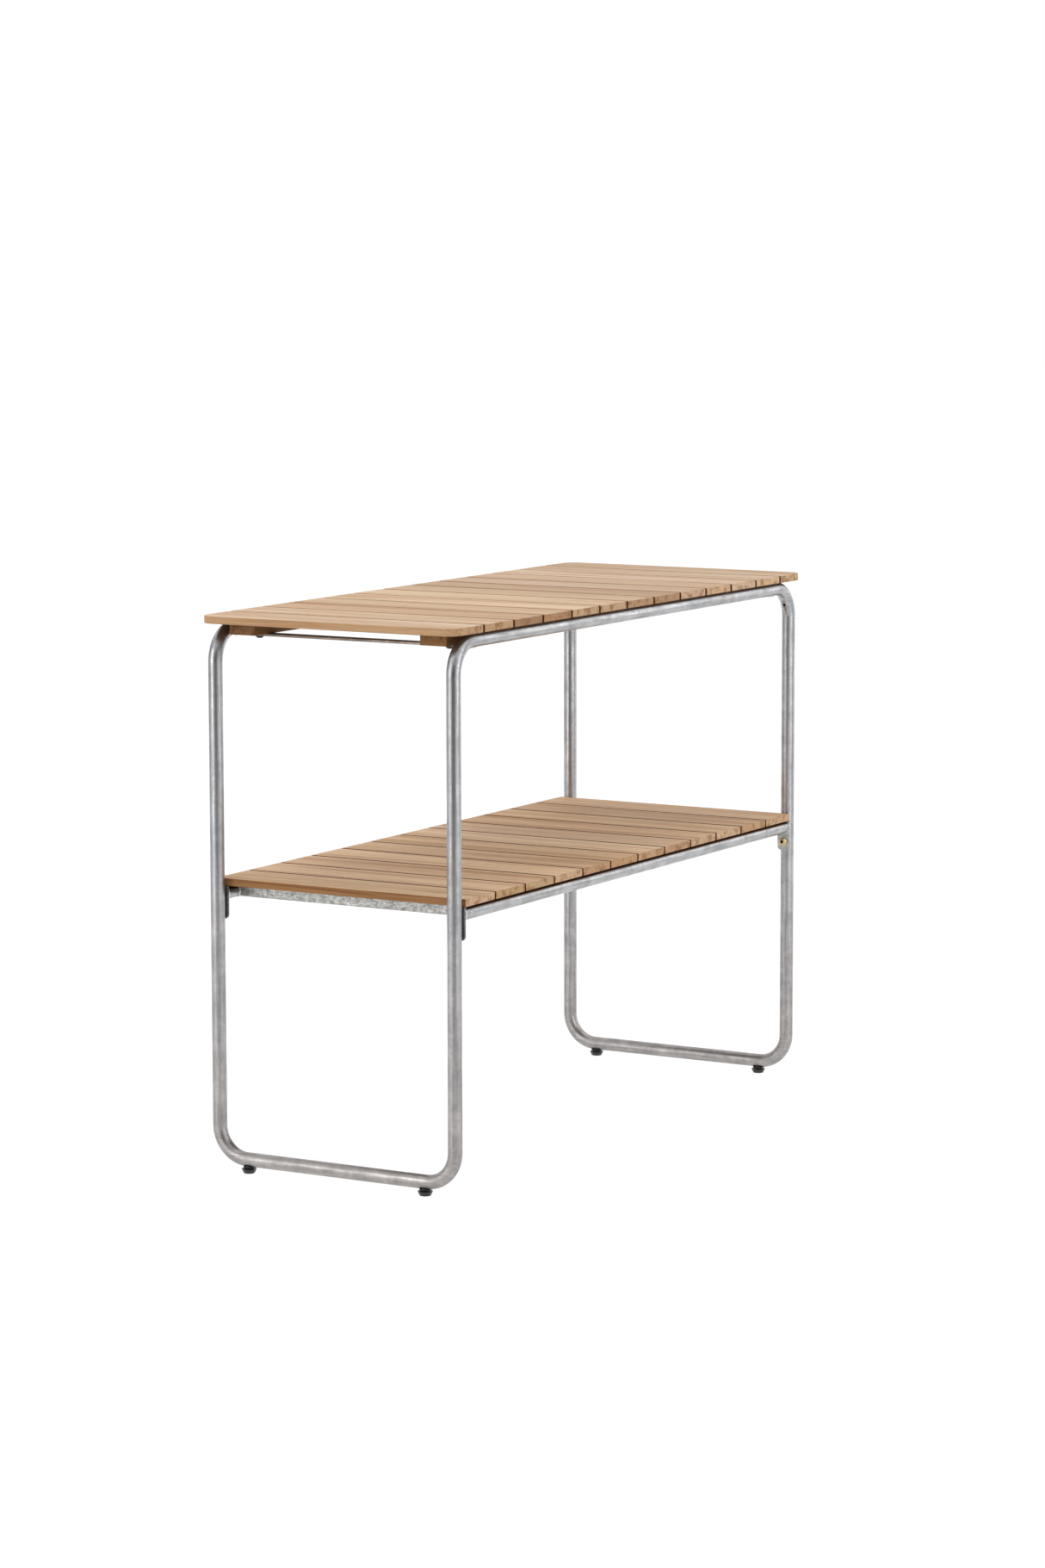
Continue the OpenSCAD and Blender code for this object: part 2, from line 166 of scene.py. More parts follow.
def paleFloor():
    bpy.ops.object.select_all(action="DESELECT")
    bpy.ops.mesh.primitive_plane_add(size=2 * room["floorHalf"], location=(0, 0, 0))
    floor = bpy.context.object
    floor.name = "floor"
    material, tree = newMaterial("white studio floor")
    matt = addNode(tree, "ShaderNodeBsdfDiffuse", {"Color": colourOf(room["floorWhite"])})
    shade = [room["floorShade"]] * 3 + [1.0]
    faint = addNode(tree, "ShaderNodeBsdfDiffuse", {"Color": shade})
    glow = addNode(tree, "ShaderNodeEmission", {"Strength": room["floorGlow"]})
    shown = addNode(tree, "ShaderNodeAddShader", {0: faint.outputs[0], 1: glow.outputs[0]})
    both = addNode(tree, "ShaderNodeMixShader", {
        0: seenDirectly(tree),
        1: matt.outputs[0],
        2: shown.outputs[0],
    })
    addNode(tree, "ShaderNodeOutputMaterial", {"Surface": both.outputs[0]})
    floor.data.materials.append(material)


def greyCards():
    for name, card in cards.items():
        bpy.ops.object.select_all(action="DESELECT")
        bpy.ops.mesh.primitive_plane_add(size=1, location=(0, 0, 0))
        sheet = bpy.context.object
        sheet.name = name
        place = Vector(card["place"])
        turn = Vector((-place.x, -place.y, 0)).to_track_quat("Z", "Y").to_matrix().to_4x4()
        wide, high = card["size"]
        size = Matrix.Diagonal((wide, high, 1, 1))
        sheet.data.transform(Matrix.Translation(place) @ turn @ size)
        material, tree = newMaterial("grey of " + name)
        matt = addNode(tree, "ShaderNodeBsdfDiffuse", {"Color": colourOf(card["grey"])})
        addNode(tree, "ShaderNodeOutputMaterial", {"Surface": matt.outputs[0]})
        sheet.data.materials.append(material)
        sheet.visible_camera = False
        sheet.visible_diffuse = False
        sheet.visible_shadow = False
        sheet.visible_transmission = False


def softLamps():
    for name, lamp in lamps.items():
        data = bpy.data.lights.new(name, "AREA")
        data.shape = "RECTANGLE"
        data.size, data.size_y = lamp["size"]
        data.energy = lamp["watts"]
        light = bpy.data.objects.new(name, data)
        bpy.context.scene.collection.objects.link(light)
        light.location = lamp["place"]
        away = Vector(lamp["place"]) - Vector(lamp["aim"])
        light.rotation_euler = away.to_track_quat("Z", "Y").to_euler()


whiteWorld()
paleFloor()
greyCards()
softLamps()
print("room and light set")


drawnTube = {
    "pale": "#CECED0", "plain": "#B0B0B2", "dull": "#88888A",
    "warm": "#B2AFAE", "cool": "#A9ABAE",
    "castShare": 0.35,        # how much the warm and cool patches show
    "castScale": 9.0,         # how many of them there are in a metre
    "paintedFloorReflection": "#EEE8E3",      # painted reflection of a browner floor, darkening the zinc towards the ground
    "groundTop": 0.45,        # metres, where that begins
    "groundEnd": 0.03,        # metres, where it is full
    "spangleSize": 5.0,       # mm, crystals of the zinc
    "spangle": (0.92, 1.06),  # how light the darkest and the lightest crystal are
    "cloudSize": 30.0,        # mm, cloudy patches
    "drawnWidth": 3.0,        # mm, streaks left by drawing the tube
    "drawnLength": 80.0,      # mm
    "ridgeWidth": 2.4,        # mm, ripples across the tube where the zinc ran
    "ridgeLength": 12.0,      # mm
    "rough": (0.26, 0.44),    # of the palest and the dullest zinc
    "groundRough": 0.07,      # added near the ground
    "relief": 0.30,           # how strongly the streaks and ripples stand out
    "reliefDepth": 0.0006,    # metres
}
squareTube = {
    **drawnTube,
    "pale": "#D6D6D2", "plain": "#ABABA7", "dull": "#5E5E5A",
    "spangleSize": 6.0, "cloudSize": 9.0, "drawnLength": 9.0,
    "rough": (0.34, 0.58), "relief": 1.0,
}
slattedTube = {
    **drawnTube,
    "crown": "#7C6048",              # painted shade where the slats lie: their contact shadow and mirrored brown underside
    "crownReach": (0.0065, 0.0045),  # metres under the top where it starts and is full
}
# painted shade: the left end plates are darker for the shadow between leg and plate and the dark
# they mirror
shadedPlate = {
    **drawnTube,
    "pale": "#A4A6A2", "plain": "#828481", "dull": "#626462",
    "warm": "#86827E", "cool": "#7C807E",
    "rough": (0.40, 0.60),
}
# painted light: the same plates, paler, for the right end
litPlate = {
    **shadedPlate,
    "pale": "#D6D7CF", "plain": "#BEC0B8", "dull": "#9A9C94",
    "warm": "#C2BEB4", "cool": "#B8BCB6",
}
# painted shade: the flat bars under the top are coloured dark brown for the shade there
flatBar = {
    **drawnTube,
    "pale": "#867B72", "plain": "#6A5F56", "dull": "#4E443D",
    "warm": "#6E5F54", "cool": "#665F59",
    "relief": 0.1,
}
weldedZinc = {
    **drawnTube,
    "pale": "#E6E6E6", "plain": "#D2D2D2", "dull": "#A8A8A6",
    "warm": "#D4D0CE", "cool": "#CED0D2",
}
bend = {
    "reach": 0.061,           # metres from the outside of a tube to where its bend starts
    "turning": 0.02,          # metres either side of there, in which the streaks turn
}


def galvanisedSteel(name, zinc, lying, above=None, below=None, crownTop=None):
    # Hot-dip galvanised steel: a dull mirror, cloudy and spangled, streaked along the piece,
    # rougher near the ground and darkened there by a painted reflection of a browner floor;
    # lying is the axis of the stretch above or below a height, the rest is upright. Under
    # crownTop, where slats lie on a tube, it is painted brown as shade: the slats' contact
    # shadow and their mirrored underside.
    material, tree = newMaterial(name)
    place = addNode(tree, "ShaderNodeTexCoord").outputs["Object"]
    height = addNode(tree, "ShaderNodeSeparateXYZ", {0: place}).outputs["Z"]
    edge = above if below is None else below
    # share is 1 on the lying stretch and 0 on the upright one
    share = 1.0 if edge is None else addNode(tree, "ShaderNodeMapRange", {
        "Value": height,
        "From Min": edge - bend["turning"],
        "From Max": edge + bend["turning"],
        "To Min": 0.0 if below is None else 1.0,
        "To Max": 1.0 if below is None else 0.0,
    }).outputs[0]

    def brushed(width, length, across=False):
        # noise drawn out along the piece, or across it, on its lying and its upright stretch
        squeeze = width / length
        flatScale = {
            "X": (1, squeeze, squeeze) if across else (squeeze, 1, 1),
            "Y": (squeeze, 1, squeeze) if across else (1, squeeze, 1),
        }[lying]
        standScale = (squeeze, squeeze, 1) if across else (1, 1, squeeze)
        marks = [addNode(tree, "ShaderNodeTexNoise", {
            "Vector": addNode(tree, "ShaderNodeMapping", {
                "Vector": place,
                "Scale": scale,
            }).outputs[0],
            "Scale": perMetre(width),
            "Detail": 3.0,
            "Roughness": 0.6,
        }).outputs["Fac"] for scale in (standScale, flatScale)]
        return addNode(tree, "ShaderNodeMix", {
            "Factor": share,
            "A": marks[0],
            "B": marks[1],
        }).outputs[0]

    streaks = brushed(zinc["drawnWidth"], zinc["drawnLength"])
    ripples = brushed(zinc["ridgeWidth"], zinc["ridgeLength"], across=True)
    clouds = addNode(tree, "ShaderNodeTexNoise", {
        "Vector": place,
        "Scale": perMetre(zinc["cloudSize"]),
        "Detail": 4.0,
        "Roughness": 0.65,
    }).outputs["Fac"]
    spangle = addNode(tree, "ShaderNodeTexVoronoi", {
        "Vector": place,
        "Scale": perMetre(zinc["spangleSize"]),
    }, feature="SMOOTH_F1")
    tint = addNode(tree, "ShaderNodeTexNoise", {
        "Vector": place,
        "Scale": zinc["castScale"],
        "Detail": 1.0,
    })
    worn = addNode(tree, "ShaderNodeMath", {0: clouds, 1: streaks}, operation="ADD")
    half = addNode(tree, "ShaderNodeMath", {0: worn.outputs[0], 1: 0.5}, operation="MULTIPLY")
    tone = addNode(tree, "ShaderNodeValToRGB", {"Fac": half.outputs[0]}, stops=[
        (0.34, zinc["dull"]),
        (0.50, zinc["plain"]),
        (0.66, zinc["pale"]),
    ])
    cast = addNode(tree, "ShaderNodeValToRGB", {"Fac": tint.outputs["Fac"]}, stops=[
        (0.38, zinc["cool"]),
        (0.50, zinc["plain"]),
        (0.62, zinc["warm"]),
    ])
    tinted = addNode(tree, "ShaderNodeMix", {
        0: zinc["castShare"],
        6: tone.outputs[0],
        7: cast.outputs[0],
    }, data_type="RGBA")
    sparkle = addNode(tree, "ShaderNodeSeparateColor", {0: spangle.outputs["Color"]})
    grain = addNode(tree, "ShaderNodeMapRange", {
        "Value": sparkle.outputs[0],
        "To Min": zinc["spangle"][0],
        "To Max": zinc["spangle"][1],
    })
    nearGround = addNode(tree, "ShaderNodeMapRange", {
        "Value": height,
        "From Min": zinc["groundTop"],
        "From Max": zinc["groundEnd"],
    }).outputs[0]
    # painted reflection of a browner floor near the ground
    darkened = addNode(tree, "ShaderNodeMix", {
        0: nearGround,
        6: tinted.outputs[2],
        7: colourOf(zinc["paintedFloorReflection"]),
    }, data_type="RGBA", blend_type="MULTIPLY").outputs[2]
    # painted shade under the slats: their contact shadow and mirrored brown underside
    if crownTop is not None:
        underSlats = addNode(tree, "ShaderNodeMapRange", {
            "Value": height,
            "From Min": crownTop - zinc["crownReach"][0],
            "From Max": crownTop - zinc["crownReach"][1],
        })
        darkened = addNode(tree, "ShaderNodeMix", {
            0: underSlats.outputs[0],
            6: darkened,
            7: colourOf(zinc["crown"]),
        }, data_type="RGBA", blend_type="MULTIPLY").outputs[2]
    colour = addNode(tree, "ShaderNodeVectorMath", {
        0: darkened,
        "Scale": grain.outputs[0],
    }, operation="SCALE")
    smoothness = addNode(tree, "ShaderNodeMapRange", {
        "Value": half.outputs[0],
        "From Min": 0.35,
        "From Max": 0.65,
        "To Min": zinc["rough"][1],
        "To Max": zinc["rough"][0],
    })
    rough = addNode(tree, "ShaderNodeMath", {
        0: nearGround,
        1: zinc["groundRough"],
        2: smoothness.outputs[0],
    }, operation="MULTIPLY_ADD")
    relief = addNode(tree, "ShaderNodeMath", {0: streaks, 1: clouds}, operation="ADD")
    rippled = addNode(tree, "ShaderNodeMath", {0: relief.outputs[0], 1: ripples}, operation="ADD")
    bump = addNode(tree, "ShaderNodeBump", {
        "Strength": zinc["relief"],
        "Distance": zinc["reliefDepth"],
        "Height": rippled.outputs[0],
    })
    shader = addNode(tree, "ShaderNodeBsdfPrincipled", {
        "Base Color": colour.outputs[0],
        "Metallic": 1.0,
        "Roughness": rough.outputs[0],
        "Normal": bump.outputs[0],
    })
    addNode(tree, "ShaderNodeOutputMaterial", {"Surface": shader.outputs[0]})
    return material


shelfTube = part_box("front_shelf_tube")
hoopZinc = galvanisedSteel("hot-dip galvanised tube of the hoops", drawnTube, "X",
                           above=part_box("front_hoop")[1].z - bend["reach"])
loopZinc = galvanisedSteel("hot-dip galvanised tube of the floor loops", drawnTube, "Y",
                           below=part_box("left_floor_loop")[0].z + bend["reach"])
shelfZinc = galvanisedSteel("hot-dip galvanised shelf tube", slattedTube, "X",
                            crownTop=shelfTube[1].z)
barZinc = galvanisedSteel("hot-dip galvanised flat bar", flatBar, "Y")
memberZinc = galvanisedSteel("hot-dip galvanised square tube", squareTube, "Y")
# shaded and lit copies of one plate finish: painted shade at the left end, painted light at the
# right
plateZinc = {
    "left": galvanisedSteel("hot-dip galvanised cut plate", shadedPlate, "Y"),
    "right": galvanisedSteel("hot-dip galvanised cut plate, paler", litPlate, "Y"),
}
for nodeName in ("front_hoop", "rear_hoop"):
    dress(nodeName, hoopZinc)
for nodeName in ("left_floor_loop", "right_floor_loop"):
    dress(nodeName, loopZinc)
for nodeName in ("front_shelf_tube", "rear_shelf_tube", "leg_bushes"):
    dress(nodeName, shelfZinc)
for nodeName in ("left_top_crossbar", "right_top_crossbar"):
    dress(nodeName, barZinc)
for nodeName in ("left_shelf_crossmember", "right_shelf_crossmember"):
    dress(nodeName, memberZinc)
for end, endZinc in plateZinc.items():
    for side in ("front", "rear"):
        dress("end_plate_" + side + "_" + end, endZinc)
print("steel dressed")


teak = {
    "ringWidth": 3.6,         # mm, spacing of the growth rings
    "waveLength": 0.314,      # metres, one ring of the wave texture at a scale of 1
    "bandWidth": 13.0,        # mm, broad paler and darker bands
    "bandLength": 420.0,      # mm
    "fibreWidth": 2.2,        # mm, drawn about twice as coarse as real fibres so that it shows
    "fibreLength": 150.0,     # mm
    "poreWidth": 1.1,         # mm, drawn coarser than real pores so that it shows
    "poreLength": 14.0,       # mm
    "mottleSize": 14.0,       # mm, blotches on the sawn ends
    "edgeDirtAndShadeWidth": 3.5,        # mm, line of dirt and painted shade along the edges of a gap, widening its dark line
    "wander": 0.010,          # metres that the grain strays sideways
    "wanderScale": 6.0,       # how often it strays in a metre across the board
    "wanderStretch": 0.22,    # how often along the board, as a part of that
    # where each mark starts and is full in its own pattern, and how much it shows
    "rings": (0.45, 1.00, 0.22),
    "fibres": (0.50, 0.72, 0.45),
    "pores": (0.62, 0.72, 0.35),
    "blotches": (0.48, 0.62, 0.80),
    "gapWidth": 0.45,         # how much further than gapStart it faces the gap at full dirt and painted shade
    "rough": 0.66,
    "gloss": 0.3,
    "ior": 1.45,
    "relief": 0.25,
    "reliefDepth": 0.0004,    # metres
}
topTeak = {
    "dark": "#BC9571", "face": "#D4B799", "light": "#E4CCB0",
    "flanks": ("#A87C54", "#C8A078"), "vein": "#A07850", "mottle": "#8C6038",
    "ends": (
        "#C8A27C", "#C8A37C", "#A68262", "#B58B67", "#C9A984", "#C9A987", "#BB9573",
        "#B49070", "#D4B293", "#D8B38C", "#DDC0A0", "#DEBB93", "#D8B58F",
    ),
    "under": "#7A5535",
    "gap": "#64300E",         # dirt and painted shade on the sides that face a gap
    "gapStart": 0.45,         # how far a side has to face the gap for the dirt and painted shade to start
    "edgeDirtAndShade": 0.15,            # how much of the gap's dirt and painted shade lies along the edges of the top
    # how light each board is in red, green and blue, but for its sawn ends, from the left
    "tones": (
        (1.06, 1.09, 1.13), (0.97, 0.95, 0.91), (0.86, 0.78, 0.70), (0.92, 0.88, 0.82),
        (1.07, 1.08, 1.06), (1.03, 1.03, 1.00), (0.91, 0.90, 0.88), (0.79, 0.75, 0.73),
        (0.84, 0.80, 0.80), (0.90, 0.87, 0.86), (1.03, 1.05, 1.12), (0.88, 0.87, 0.87),
        (0.85, 0.83, 0.82),
    ),
}
# paler than the top's teak: partly painted light, lifting the shelf against the shade under the
# top
shelfTeak = {
    "dark": "#C89D70", "face": "#E4C098", "light": "#F0D3AA",
    "flanks": ("#7F522D", "#A27447"), "vein": "#94714F", "mottle": "#9A6A3C",
    "ends": (
        "#D9B494", "#C8A478", "#C8A880", "#D3B28C", "#C59C77", "#C49B70",
        "#CBA57F", "#CAA380", "#D1B18F", "#D9B995", "#CAA37D", "#D4B18D",
    ),
    "under": "#6A4426", "gap": "#642606", "gapStart": 0.12, "edgeDirtAndShade": 0.65,
    # above 1 the tones are partly painted light against the shade under the top
    "tones": (
        (1.00, 0.98, 0.97), (1.20, 1.19, 1.25), (1.08, 1.04, 1.05), (1.26, 1.29, 1.35),
        (1.10, 1.07, 1.09), (1.17, 1.16, 1.17), (1.25, 1.28, 1.37), (1.06, 1.03, 1.08),
        (1.13, 1.08, 1.07), (1.10, 1.09, 1.07), (0.98, 0.95, 0.98), (1.02, 0.99, 1.02),
    ),
}
# painted shade: the battens' teak is darker than the slats' for the shade under the top
battenTeak = {
    "dark": "#644224", "face": "#805A34", "light": "#906C44",
    "flanks": ("#6E4A28", "#8C6440"), "vein": "#5E3F22", "mottle": "#64401F",
    "ends": ("#966C40", "#8E6540"),
    "under": "#6E4A2C", "gap": "#7C552F", "gapStart": 0.30,
    "tones": ((1.00, 1.00, 1.00), (0.82, 0.80, 0.78)),
}


def sandedTeak(name, look, number, seed, grainAxis="Y", openSide=0, span=None):
    # Sanded, unvarnished teak: straight grain in fine darker lines on a matt face, ring arcs
    # on the sawn ends, sides darkened brown by dirt and painted shade where a board faces a gap,
    # and a darker underside; openSide is the side, -1 or 1, that faces no other board, and span
    # where the board starts and ends in x. Every board is cut from another part of the log.
    material, tree = newMaterial(name)
    dice = random.Random(seed + number)
    place = addNode(tree, "ShaderNodeTexCoord").outputs["Object"]
    turned = addNode(tree, "ShaderNodeMapping", {
        "Vector": place,
        "Rotation": (0, 0, math.radians(90) if grainAxis == "X" else 0),
    })
    board = addNode(tree, "ShaderNodeMapping", {
        "Vector": turned.outputs[0],
        "Location": (dice.uniform(-9, 9), dice.uniform(-9, 9), dice.uniform(-9, 9)),
        "Rotation": (
            math.radians(dice.uniform(-0.5, 0.5)),
            0,
            math.radians(dice.uniform(-0.8, 0.8)),
        ),
    })
    slow = addNode(tree, "ShaderNodeMapping", {
        "Vector": board.outputs[0],
        "Scale": (1, teak["wanderStretch"], 1),
    })
    stray = addNode(tree, "ShaderNodeTexNoise", {
        "Vector": slow.outputs[0],
        "Scale": teak["wanderScale"],
        "Detail": 2.0,
    })
    shift = addNode(tree, "ShaderNodeVectorMath", {
        0: stray.outputs["Color"],
        1: (-0.5, -0.5, -0.5),
    }, operation="ADD")
    sway = addNode(tree, "ShaderNodeVectorMath", {
        0: shift.outputs[0],
        "Scale": teak["wander"],
    }, operation="SCALE")
    log = addNode(tree, "ShaderNodeVectorMath", {
        0: board.outputs[0],
        1: sway.outputs[0],
    }, operation="ADD").outputs[0]
    # the pith lies well outside the board, so that its face is cut across the rings
    logCut = addNode(tree, "ShaderNodeMapping", {
        "Vector": turned.outputs[0],
        "Location": (
            dice.choice((-1, 1)) * dice.uniform(0.10, 0.30),
            0,
            dice.uniform(-1.02, -0.93),
        ),
        "Rotation": (0, 0, math.radians(dice.uniform(-0.7, 0.7))),
    })
    swayed = addNode(tree, "ShaderNodeVectorMath", {
        0: logCut.outputs[0],
        1: sway.outputs[0],
    }, operation="ADD")
    rings = addNode(tree, "ShaderNodeTexWave", {
        "Vector": swayed.outputs[0],
        "Scale": teak["waveLength"] * perMetre(teak["ringWidth"]),
        "Distortion": 2.5,
        "Detail": 3.0,
        "Detail Scale": 0.6,
    }, wave_type="RINGS", rings_direction="Y", wave_profile="SAW").outputs["Fac"]

    def streaks(width, length, detail):
        stretch = addNode(tree, "ShaderNodeMapping", {
            "Vector": log,
            "Scale": (1, width / length, 1),
        })
        return addNode(tree, "ShaderNodeTexNoise", {
            "Vector": stretch.outputs[0],
            "Scale": perMetre(width) / 2,
            "Detail": detail,
            "Roughness": 0.6,
        }).outputs["Fac"]

    bands = streaks(teak["bandWidth"], teak["bandLength"], 3.0)
    fibres = streaks(teak["fibreWidth"], teak["fibreLength"], 4.0)
    pores = streaks(teak["poreWidth"], teak["poreLength"], 1.0)
    normal = addNode(tree, "ShaderNodeNewGeometry").outputs["Normal"]
    facing = addNode(tree, "ShaderNodeSeparateXYZ", {0: normal})
    upward = addNode(tree, "ShaderNodeMath", {0: facing.outputs["Z"]}, operation="ABSOLUTE")
    # 1 on the wide faces and 0 on the sides, then 1 on the sawn ends and 0 elsewhere
    faceShare = addNode(tree, "ShaderNodeMapRange", {
        "Value": upward.outputs[0],
        "From Min": 0.35,
        "From Max": 0.85,
    }).outputs[0]
    endward = addNode(tree, "ShaderNodeMath", {
        0: facing.outputs[grainAxis],
    }, operation="ABSOLUTE")
    endShare = addNode(tree, "ShaderNodeMapRange", {
        "Value": endward.outputs[0],
        "From Min": 0.75,
        "From Max": 0.95,
    }).outputs[0]
    notEnd = addNode(tree, "ShaderNodeMath", {0: 1.0, 1: endShare}, operation="SUBTRACT")
    sideways = facing.outputs["X" if grainAxis == "Y" else "Y"]
    if openSide == 0:
        inward = addNode(tree, "ShaderNodeMath", {0: sideways}, operation="ABSOLUTE")
    else:
        inward = addNode(tree, "ShaderNodeMath", {
            0: sideways,
            1: -openSide,
        }, operation="MULTIPLY")
    gapward = addNode(tree, "ShaderNodeMapRange", {
        "Value": inward.outputs[0],
        "From Min": look["gapStart"],
        "From Max": look["gapStart"] + teak["gapWidth"],
    })
    gapShare = addNode(tree, "ShaderNodeMath", {
        0: gapward.outputs[0],
        1: notEnd.outputs[0],
    }, operation="MULTIPLY")
    if span:
        across = addNode(tree, "ShaderNodeSeparateXYZ", {0: place}).outputs["X"]
        # how far a point lies from the edges that other boards face
        fromEdge = {
            1: addNode(tree, "ShaderNodeMath", {0: across, 1: span[0]}, operation="SUBTRACT"),
            -1: addNode(tree, "ShaderNodeMath", {0: span[1], 1: across}, operation="SUBTRACT"),
        }
        fromEdge[0] = addNode(tree, "ShaderNodeMath", {
            0: fromEdge[1].outputs[0],
            1: fromEdge[-1].outputs[0],
        }, operation="MINIMUM")
        # dirt and painted shade along the edges that face a gap, widening the gap's dark line
        edgeDirtAndShade = addNode(tree, "ShaderNodeMapRange", {
            "Value": fromEdge[openSide].outputs[0],
            "From Max": teak["edgeDirtAndShadeWidth"] / 1000,
            "To Min": look["edgeDirtAndShade"],
            "To Max": 0.0,
        })
        darkened = addNode(tree, "ShaderNodeMath", {
            0: edgeDirtAndShade.outputs[0],
            1: faceShare,
        }, operation="MULTIPLY")
        gapShare = addNode(tree, "ShaderNodeMath", {
            0: gapShare.outputs[0],
            1: darkened.outputs[0],
        }, operation="MAXIMUM")
    face = addNode(tree, "ShaderNodeValToRGB", {"Fac": bands}, stops=[
        (0.32, look["dark"]),
        (0.50, look["face"]),
        (0.68, look["light"]),
    ])
    flank = addNode(tree, "ShaderNodeValToRGB", {"Fac": fibres}, stops=[
        (0.38, look["flanks"][0]),
        (0.58, look["flanks"][1]),
    ])
    sides = addNode(tree, "ShaderNodeMix", {
        0: faceShare,
        6: flank.outputs[0],
        7: face.outputs[0],
    }, data_type="RGBA")
    toned = addNode(tree, "ShaderNodeVectorMath", {
        0: sides.outputs[2],
        1: look["tones"][number],
    }, operation="MULTIPLY")
    mottle = addNode(tree, "ShaderNodeTexNoise", {
        "Vector": log,
        "Scale": perMetre(teak["mottleSize"]),
        "Detail": 4.0,
        "Roughness": 0.65,
    }).outputs["Fac"]

    def marked(wood, pattern, mark, hexText):
        # the wood with another colour where a pattern is strong
        start, full, most = teak[mark]
        much = addNode(tree, "ShaderNodeMapRange", {
            "Value": pattern,
            "From Min": start,
            "From Max": full,
            "To Min": 0.0,
            "To Max": most,
        })
        return addNode(tree, "ShaderNodeMix", {
            0: much.outputs[0],
            6: wood,
            7: colourOf(hexText),
        }, data_type="RGBA").outputs[2]

    sawn = marked(colourOf(look["ends"][number]), mottle, "blotches", look["mottle"])
    wood = addNode(tree, "ShaderNodeMix", {
        0: endShare,
        6: toned.outputs[0],
        7: sawn,
    }, data_type="RGBA").outputs[2]
    for pattern, mark in ((rings, "rings"), (fibres, "fibres"), (pores, "pores")):
        wood = marked(wood, pattern, mark, look["vein"])
    # dirt and painted shade where a board faces a gap
    dirtAndShade = addNode(tree, "ShaderNodeMix", {
        0: gapShare.outputs[0],
        6: wood,
        7: colourOf(look["gap"]),
    }, data_type="RGBA")
    downward = addNode(tree, "ShaderNodeMapRange", {
        "Value": facing.outputs["Z"],
        "From Min": -0.5,
        "From Max": -0.9,
    })
    coloured = addNode(tree, "ShaderNodeMix", {
        0: downward.outputs[0],
        6: dirtAndShade.outputs[2],
        7: colourOf(look["under"]),
    }, data_type="RGBA")
    reliefSum = addNode(tree, "ShaderNodeMath", {0: fibres, 1: pores}, operation="ADD")
    bump = addNode(tree, "ShaderNodeBump", {
        "Strength": teak["relief"],
        "Distance": teak["reliefDepth"],
        "Height": reliefSum.outputs[0],
    })
    shader = addNode(tree, "ShaderNodeBsdfPrincipled", {
        "Base Color": coloured.outputs[2],
        "Roughness": teak["rough"],
        "Specular IOR Level": teak["gloss"],
        "IOR": teak["ior"],
        "Normal": bump.outputs[0],
    })
    addNode(tree, "ShaderNodeOutputMaterial", {"Surface": shader.outputs[0]})
    return material


def dressSlats(prefix, look, seed):
    # one material for each slat, so that no two boards look alike
    names = sorted(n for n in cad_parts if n.startswith(prefix) and n[-2:].isdigit())
    for number, nodeName in enumerate(names):
        openSide = {0: -1, len(names) - 1: 1}.get(number, 0)
        span = [corner.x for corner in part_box(nodeName)]
        board = sandedTeak("sanded teak of " + nodeName, look, number, seed,
                           openSide=openSide, span=span)
        dress(nodeName, board)


dressSlats("top_slat_", topTeak, 100)
dressSlats("shelf_slat_", shelfTeak, 200)
for number, nodeName in enumerate(("front_batten", "rear_batten")):
    board = sandedTeak("sawn teak of " + nodeName, battenTeak, number, 300, grainAxis="X")
    dress(nodeName, board)
print("wood dressed")


tubeRadius = 0.011           # metres
tubeY = (shelfTube[0].y + shelfTube[1].y) / 2
tubeZ = (shelfTube[0].z + shelfTube[1].z) / 2
tubeEnd = shelfTube[0].x
weld = {
    "pitch": 1.8,            # mm from one dab of the torch to the next
    "uneven": 0.12,          # how much the dabs differ in size
    "voxel": 0.5,            # mm
    "rounds": 4,             # of smoothing
    "lift": 0.0003,          # metres that a bead lies off the tube
    "plateLift": 0.0002,     # metres off the tube and off the plate
    "memberDab": 1.7,        # mm, radius of a dab at the square tube
    "memberArc": 52,         # degrees, how far it reaches up and down round the tube
    "memberStep": 4,         # degrees
    "plateDab": 1.7,         # mm
    "plateArc": (-232, 50),  # degrees, round the tube but for its top
    "plateStep": 6,          # degrees
    "barDab": 1.5,           # mm
}
# rim of the plugged vent hole near each end of a shelf tube
plug = {
    "fromEnd": 0.016,        # metres
    "radius": 0.0030,        # metres
    "step": 30,              # degrees
    "dab": 1.0,              # mm
}


def evenly(path, pitch):
    # points one pitch apart along a path of straight stretches
    points = [Vector(path[0])]
    left = pitch
    for start, end in zip(path, path[1:]):
        start, end = Vector(start), Vector(end)
        length = (end - start).length
        done = left
        while done <= length:
            points.append(start.lerp(end, done / length))
            done += pitch
        left = done - length
    return points


def weldBead(name, path, dab, material):
    # a row of overlapping dabs of melted steel, run together as on a torch weld
    dice = random.Random(len(path))
    bpy.ops.object.select_all(action="DESELECT")
    dabs = []
    for point in evenly(path, weld["pitch"] / 1000):
        radius = dab / 1000 * dice.uniform(1 - weld["uneven"], 1 + weld["uneven"])
        bpy.ops.mesh.primitive_ico_sphere_add(subdivisions=2, radius=radius, location=point)
        dabs.append(bpy.context.object)
    for piece in dabs:
        piece.select_set(True)
    bpy.ops.object.join()
    bead = bpy.context.object
    bead.name = name
    bpy.ops.object.transform_apply(location=True, rotation=True, scale=True)
    melt = bead.modifiers.new("melt", "REMESH")
    melt.mode = "VOXEL"
    melt.voxel_size = weld["voxel"] / 1000
    soften = bead.modifiers.new("soften", "SMOOTH")
    soften.iterations = weld["rounds"]
    for modifier in ("melt", "soften"):
        bpy.ops.object.modifier_apply(modifier=modifier)
    bpy.ops.object.shade_smooth()
    bead.data.materials.append(material)
    return bead


